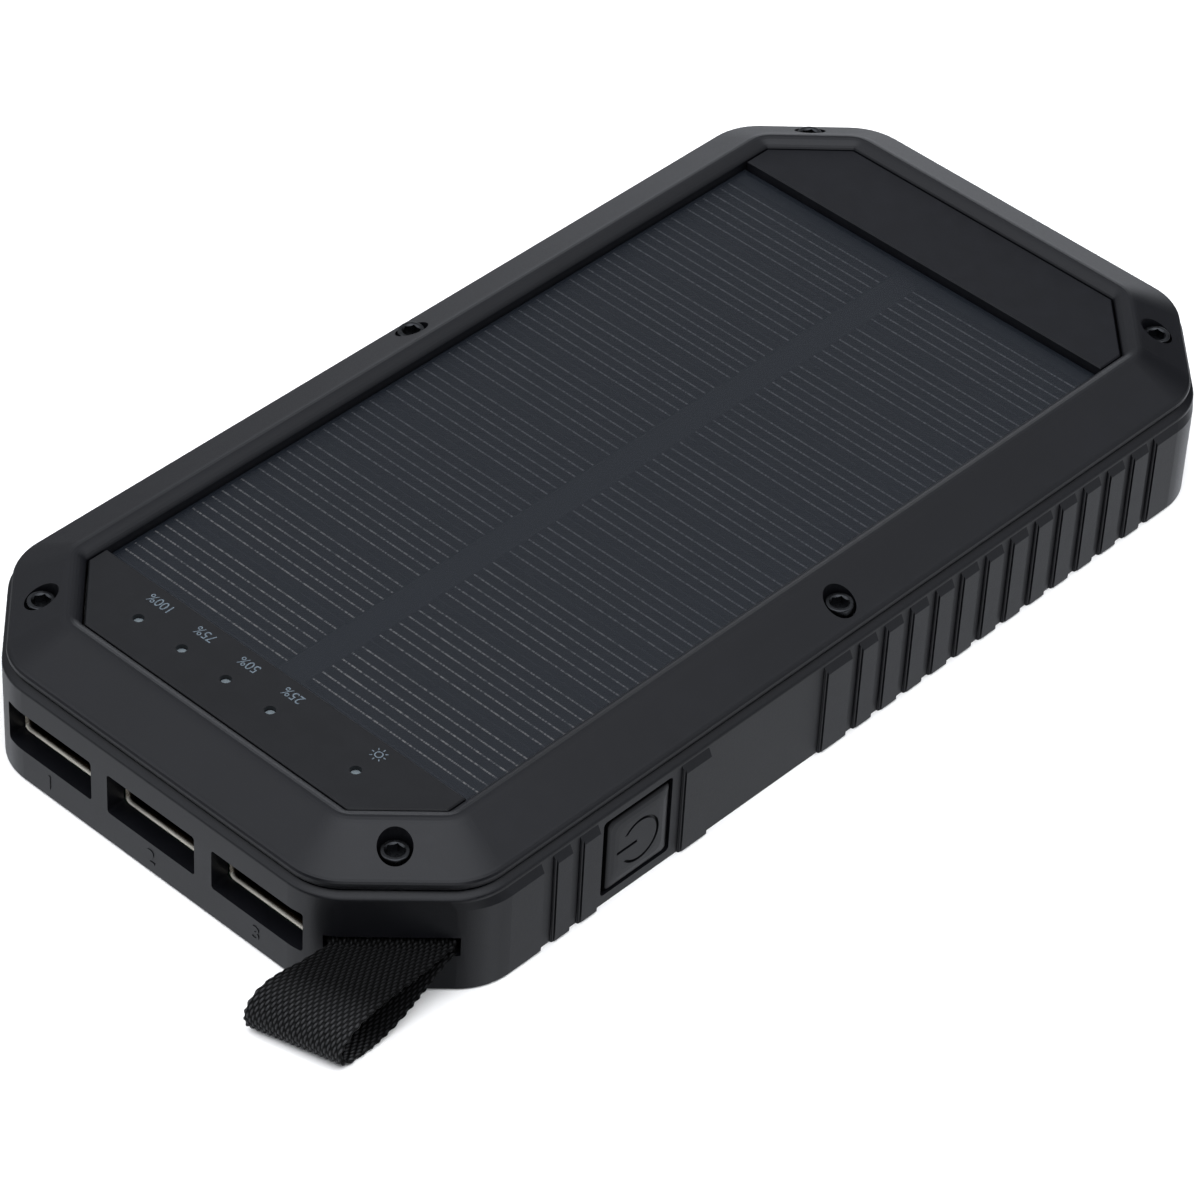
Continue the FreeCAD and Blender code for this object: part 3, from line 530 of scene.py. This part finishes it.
def make_webbing():
    """Mesh of the folded webbing, its yarn heights and distances from the fold, flat width and length."""
    rows, cols = 430, 4 * WARP_COUNT + 1
    left, left_length = loop_side(SLOT_ALONG - STRAP_HALF_W, TIPS[0], rows)
    right, right_length = loop_side(SLOT_ALONG + STRAP_HALF_W, TIPS[1], rows)
    centre = [[l.lerp(r, c / (cols - 1)) for c in range(cols)] for l, r in zip(left, right)]
    fold = max(range(rows), key=lambda i: -left[i].y - right[i].y)
    lengths = [left_length + (right_length - left_length) * j / (cols - 1) for j in range(cols)]
    verts, faces, heights, reach = [], [], [], []
    area = 0.0
    for side in (1, -1):
        for i in range(rows):
            for j in range(cols):
                along = centre[min(i + 1, rows - 1)][j] - centre[max(i - 1, 0)][j]
                across = centre[i][min(j + 1, cols - 1)] - centre[i][max(j - 1, 0)]
                normal = across.cross(along)
                if side > 0 and 0 < i and 0 < j:
                    area += normal.length / 4
                normal.normalize()
                edge = abs(2 * j / (cols - 1) - 1)
                thin = 1.0 - 0.40 * max(0.0, (edge - 0.95) / 0.05) ** 2
                v = (i - fold) / (rows - 1) * lengths[j]
                heights.append(yarn_height(j / 4 - 0.001 * (j == cols - 1), v))
                reach.append(abs(v))
                lift = (PLY / 2 - PLY_SKIN) * thin - YARN_LOW + YARN_RISE * heights[-1]
                ripple = math.sin(math.tau * v / (PICK * 1.18) + 1.1 * math.sin(v))
                wave = 0.09 * max(0.0, (edge - 0.93) / 0.07) * ripple
                shift = across.normalized() * (wave if j > cols / 2 else -wave)
                verts.append((centre[i][j] + normal * side * lift + shift) * MM)
    block = rows * cols
    for side in range(2):
        for i in range(rows - 1):
            for j in range(cols - 1):
                a = side * block + i * cols + j
                quad = (a, a + 1, a + cols + 1, a + cols)
                faces.append(quad if not side else quad[::-1])
    rim = ([(i, 0) for i in range(rows)] + [(rows - 1, j) for j in range(1, cols)] +
           [(i, cols - 1) for i in range(rows - 2, -1, -1)] + [(0, j) for j in range(cols - 2, 0, -1)])
    for (i0, j0), (i1, j1) in zip(rim, rim[1:] + rim[:1]):
        a, b = i0 * cols + j0, i1 * cols + j1
        faces.append((b, a, block + a, block + b))
    length = (left_length + right_length) / 2
    return verts, faces, heights, reach, area / length, length


def webbing_material():
    """Black polyester yarn with painted shade down between the ends, paler and glossier round the fold: partly
    rub wear, partly painted light.
    """
    material, g = new_material("black_webbing")
    fibre = g.noise(9000, 3, 0.6)
    strand = g.span(fibre, 0.35, 0.7, 0, 1)
    # paler and glossier near the fold, darker towards the slot: partly rub wear, partly painted light and
    # shade
    fold_wear_and_light = g.span(g.attribute("fold_distance"), 1.5, 8.0, 1, 0, True)
    away_from_fold = g.blend(strand, rgb(0.0008, 0.0008, 0.0010), rgb(0.0024, 0.0024, 0.0028))
    base = g.blend(fold_wear_and_light, away_from_fold, g.blend(strand, rgb(0.0026, 0.0026, 0.0030), rgb(0.0120, 0.0120, 0.0134)))
    # painted shade: the valleys between the yarn floats turn near black and lose their shine
    lit = g.span(g.attribute("float_height"), 0.25, 0.85, 0, 1, True)
    base = g.blend(lit, rgb(0.0003, 0.0003, 0.0003), base)
    gloss = g.math("MULTIPLY", g.span(lit, 0, 1, 0.35, 1.30), g.span(fold_wear_and_light, 0, 1, 0.25, 0.95))
    finish_material(g, **{"Base Color": base, "Roughness": g.span(fibre, 0.3, 0.7, 0.38, 0.58),
                          "Sheen Weight": 0.01, "Sheen Roughness": 0.5, "Specular IOR Level": gloss,
                          "Normal": g.bump(fibre, 0.03 * MM)})
    return material


verts, faces, heights, reach, webbing_w, webbing_l = make_webbing()
loop = piece("webbing_loop", verts, faces, webbing_material(), body=None)
loop.data.attributes.new("float_height", "FLOAT", "POINT").data.foreach_set("value", heights)
loop.data.attributes.new("fold_distance", "FLOAT", "POINT").data.foreach_set("value", reach)
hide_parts("strap_loop", "strap_tail")
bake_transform(loop)


# ---------------------------------------------------------------- floor, light, camera
def make_floor():
    material, g = new_material("pale_floor")
    speck = g.noise(40, 2)
    base = g.blend(speck, rgb(0.86, 0.86, 0.86), rgb(0.88, 0.88, 0.88))
    finish_material(g, **{"Base Color": base, "Roughness": 0.9, "Specular IOR Level": 0.1})
    half = 3.0
    corners = [(-half, -half, 0), (half, -half, 0), (half, half, 0), (-half, half, 0)]
    floor = piece("studio_floor", corners, [(0, 1, 2, 3)], material, body=None)
    floor.visible_glossy = False


def direction_to(azimuth, elevation):
    """Unit vector out to a place seen from the object, in degrees; azimuth 0 faces the USB end."""
    a, e = math.radians(azimuth), math.radians(elevation)
    return Vector((math.sin(a) * math.cos(e), -math.cos(a) * math.cos(e), math.sin(e)))


def area_light(name, azimuth, elevation, distance, side, power):
    light = bpy.data.lights.new(name, "AREA")
    light.shape, light.size, light.size_y, light.energy = "RECTANGLE", side, side, power
    light_object = bpy.data.objects.new(name, light)
    towards = direction_to(azimuth, elevation)
    light_object.location = Vector((0, 0, 0.01)) + towards * distance
    light_object.rotation_euler = towards.to_track_quat("Z", "Y").to_euler()
    light_object.visible_glossy = False
    bpy.context.scene.collection.objects.link(light_object)


def make_world():
    """Dim room with soft pools of light: low to the left and right, overhead, and faint behind."""
    world = bpy.data.worlds.new("studio")
    world.use_nodes = True
    bpy.context.scene.world = world
    g = Graph(world.node_tree)
    direction = g.add("ShaderNodeTexCoord").outputs["Generated"]
    level = 0.03
    # direction, degrees out to where it starts to fade, degrees to where it ends, strength
    pools = [((-0.50, -0.57, -0.62), 22, 46, 0.68), ((0.10, -0.76, -0.64), 8, 24, 0.30),
             ((-0.66, 0.30, -0.68), 14, 34, 0.50), ((-0.95, 0.10, 0.30), 15, 35, 0.28),
             ((0.60, 0.55, -0.52), 20, 44, 0.47), ((0.76, -0.10, -0.63), 10, 28, 0.59),
             ((-0.12, 0.80, -0.58), 12, 31, 0.80), ((0.15, -0.10, 0.97), 15, 42, 1.02),
             ((-0.12, 0.00, 0.99), 25, 62, 0.48), ((-0.61, 0.785, 0.09), 8, 25, 1.22),
             ((0.72, -0.64, 0.28), 12, 30, 0.86), ((0.66, 0.58, 0.47), 12, 36, 0.34),
             ((-0.50, -0.62, 0.50), 10, 31, 0.72)]
    for vector, inner_angle, outer_angle, strength in pools:
        facing = g.add("ShaderNodeVectorMath", {0: direction, 1: Vector(vector).normalized()},
                       operation="DOT_PRODUCT").outputs["Value"]
        level = g.math("ADD", level, g.span(facing, math.cos(math.radians(outer_angle)),
                                            math.cos(math.radians(inner_angle)), 0.0, strength, True))
    back = g.add("ShaderNodeBackground", {"Color": rgb(0.91, 0.94, 1.0), "Strength": level})
    g.add("ShaderNodeOutputWorld", {"Surface": back.outputs[0]})


def make_camera():
    camera = bpy.data.cameras.new("camera")
    camera.lens, camera.sensor_width, camera.clip_start = 157.56, 36.0, 0.01
    obj = bpy.data.objects.new("camera", camera)
    roll, distance = math.radians(3.255), 0.57884
    target = Vector((0.009154, -0.012382, 0.009))
    towards = direction_to(41.339, 40.947)
    turn = towards.to_track_quat("Z", "Y").to_matrix().to_4x4() @ Matrix.Rotation(roll, 4, "Z")
    obj.matrix_world = Matrix.Translation(target + towards * distance) @ turn
    bpy.context.scene.collection.objects.link(obj)
    bpy.context.scene.camera = obj


make_floor()
make_world()
area_light("overhead_box", 40, 78, 1.1, 1.4, 16.0)
area_light("left_box", -60, 40, 1.2, 0.8, 6.0)
area_light("right_box", 140, 40, 1.2, 0.8, 6.0)
make_camera()
bpy.context.scene.view_settings.view_transform = "Standard"
